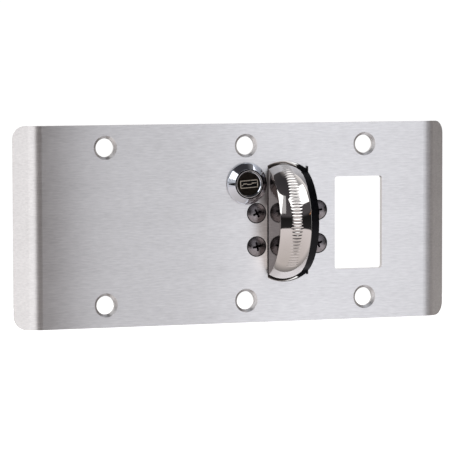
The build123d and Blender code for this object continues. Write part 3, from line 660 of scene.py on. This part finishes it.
# ---------------------------------------------------------------- lights
PLATE = [nodes["front_plate"]]
LOCK = [nodes["lock_housing"]]
SCREWS = [nodes["bracket_screws"]]
TRIM = [bezel_lip, keyway_frame, keyway_ward]
WHEEL = [wheel]
# the light from behind misses the wheel, whose polished top would mirror the box
ALL_BUT_WHEEL = [part for name, part in nodes.items() if name != "thumb_wheel"]
WHITE, COOL, PALE_BLUE = (1, 1, 1), (0.85, 0.915, 1.0), (0.93, 0.965, 1.0)
WARM, ORANGE = (1, 0.94, 0.92), (1.0, 0.45, 0.2)
TRIM_WHITE, SCREW_WHITE = (0.98, 0.97, 1.0), (0.97, 0.95, 1.0)


def softbox(name, place, aim, size, radiance, only, colour=WHITE):
    """A rectangular light of a given brightness, aimed at a point, which only some pieces get."""
    data = bpy.data.lights.new(name, "AREA")
    data.shape = "RECTANGLE"
    data.size, data.size_y = size
    data.energy = radiance * math.pi * size[0] * size[1]
    data.color = colour
    lamp = bpy.data.objects.new(name, data)
    place, aim = Vector(place), Vector(aim)
    turn = (aim - place).to_track_quat("-Z", "Y").to_matrix().to_4x4()
    lamp.matrix_world = Matrix.Translation(place) @ turn
    lamp.visible_camera = False
    bpy.context.scene.collection.objects.link(lamp)
    receivers = bpy.data.collections.new(name + "_receivers")
    for piece in only:
        receivers.objects.link(piece)
    lamp.light_linking.receiver_collection = receivers
    return lamp


def studio_light(name, azimuth, elevation, distance, size, radiance, only, colour=WHITE):
    """A softbox aimed at the origin: azimuth 0 is in front of the object, 90 at its right."""
    a, e = math.radians(azimuth), math.radians(elevation)
    place = (
        distance * math.sin(a) * math.cos(e),
        -distance * math.cos(a) * math.cos(e),
        distance * math.sin(e),
    )
    softbox(name, place, (0, 0, 0), size, radiance, only, colour)


PANEL_AWAY, PANEL_TALL = 0.12, 1.0


def plate_panel(name, left, right, radiance, colour=COOL, shadows=True):
    """A tall light close in front of the plate, from one X to another."""
    middle = (left + right) / 2
    place, aim = (middle, -PANEL_AWAY, 0), (middle, 0, 0)
    lamp = softbox(name, place, aim, (right - left, PANEL_TALL), radiance, PLATE, colour)
    if not shadows:
        blockers = bpy.data.collections.new(name + "_blockers")
        blockers.objects.link(PLATE[0])
        lamp.light_linking.blocker_collection = blockers


# the panels' X limits; the plate mirrors a dark gap between the left wing and the middle
WING_LEFT, WING_RIGHT = -0.36, -0.142
MIDDLE_LEFT, MIDDLE_RIGHT = -0.062, 0.036
RIGHT_END, FADE_END = 0.20, 0.34
plate_panel("plate_left_wing", WING_LEFT, WING_RIGHT, 1.60, PALE_BLUE)
plate_panel("plate_middle", MIDDLE_LEFT, MIDDLE_RIGHT, 0.50)
plate_panel("plate_middle_soft", MIDDLE_LEFT, MIDDLE_RIGHT, 0.48, shadows=False)
plate_panel("plate_right_half", MIDDLE_RIGHT, RIGHT_END, 0.34)
plate_panel("plate_right_soft", MIDDLE_RIGHT, RIGHT_END, 1.06, shadows=False)
plate_panel("plate_right_fade", RIGHT_END, FADE_END, 0.4)
studio_light("plate_right", 86, -22, 1.6, (0.8, 1.2), 0.5, PLATE)

# light that the wheel's flat side throws back on the plate: soft above, stronger below
BOUNCE_X = WHEEL_LEFT[0] * MM - 0.0004
BOUNCE_Y, BOUNCE_DEPTH = -0.0125, 0.018
for name, z, tall, radiance in (
    ("wheel_bounce_low", -0.018, 0.014, 0.85),
    ("wheel_bounce_high", -0.001, 0.020, 0.4),
):
    place, to_the_left = (BOUNCE_X, BOUNCE_Y, z), (-1, BOUNCE_Y, z)
    softbox(name, place, to_the_left, (BOUNCE_DEPTH, tall), radiance, PLATE, WARM)

studio_light("chrome_left", -53, 32, 1.0, (0.62, 0.66), 1.6, LOCK + WHEEL)
studio_light("chrome_left_fade", -27, 32, 1.0, (0.26, 0.6), 0.4, WHEEL)
studio_light("chrome_right", 44, 40, 1.0, (1.45, 0.50), 1.6, WHEEL)
studio_light("chrome_right_fade", 74, 52, 1.2, (1.1, 0.9), 0.28, WHEEL)
studio_light("bezel_right", 62, -4, 1.0, (0.7, 0.8), 0.30, LOCK)
studio_light("bezel_top", 99, 45, 1.0, (0.75, 0.3), 1.5, LOCK)
studio_light("trim_front", 12, 10, 1.2, (1.6, 1.2), 0.5, TRIM, TRIM_WHITE)
studio_light("warm_glint", 84, 8, 1.0, (0.45, 0.03), 0.35, WHEEL, ORANGE)
studio_light("screw_front", 22, 2, 1.2, (1.3, 1.1), 0.29, SCREWS, SCREW_WHITE)
studio_light("rear_fill", 180, 20, 1.1, (2.8, 1.5), 0.55, ALL_BUT_WHEEL)
